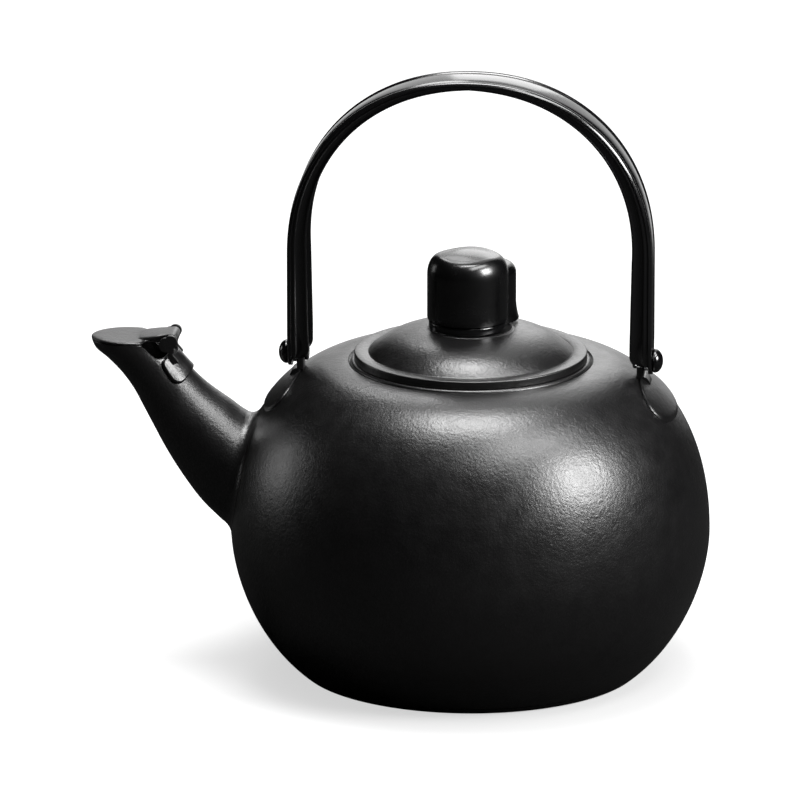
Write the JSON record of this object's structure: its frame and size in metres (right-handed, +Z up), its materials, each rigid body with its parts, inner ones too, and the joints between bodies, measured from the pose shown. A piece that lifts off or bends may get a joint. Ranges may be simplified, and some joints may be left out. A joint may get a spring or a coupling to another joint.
{
  "type": "teapot",
  "caption": "Round black-coated steel teapot with a lift-off lid, upright swinging bail handle and short upturned spout closed by a hinged teardrop flap.",
  "frame": {"origin": "centre of the flat foot, on the pot's axis", "axes": "+Z up along the pot's axis; -X towards the spout; the bail's pivots lie along X, so +Y is square to the upright bail"},
  "size_m": [0.2588, 0.2, 0.254],
  "materials": {
    "pebbled_coating": "satin black, fine pebbled texture",
    "gloss_coating": "smooth gloss black",
    "knob_plastic": "high gloss black",
    "bare_steel": "brushed"
  },
  "bodies": {
    "pot": {"body_shell": "pebbled_coating", "base_plate": "pebbled_coating", "spout": "pebbled_coating", "spout_bracket": "gloss_coating", "spout_hinge_pin": "bare_steel", "ear_left": "pebbled_coating", "ear_right": "pebbled_coating", "pivot_rivet_left": "gloss_coating", "pivot_rivet_right": "gloss_coating", "pivot_washer_left": "bare_steel", "pivot_washer_right": "bare_steel"},
    "bail": {"bail_handle": "gloss_coating"},
    "lid": {"lid_shell": "pebbled_coating", "lid_skirt": "bare_steel", "knob": "knob_plastic", "knob_collar": "gloss_coating", "knob_screw": "bare_steel", "knob_washer": "bare_steel"},
    "flap": {"spout_cover": "pebbled_coating"}
  },
  "joints": [
    {"name": "bail_swing", "type": "hinge", "parent": "pot", "child": "bail", "pos_m": [0, 0, 0.134], "axis": [1, 0, 0], "range_deg": [-35, 35]},
    {"name": "lid_lift", "type": "slide", "parent": "pot", "child": "lid", "axis": [0, 0, 1], "range_m": [0, 0.05]},
    {"name": "spout_cover_hinge", "type": "hinge", "parent": "pot", "child": "flap", "pos_m": [-0.1246, 0, 0.1393], "axis": [0, 1, 0], "range_deg": [0, 95]}
  ]
}
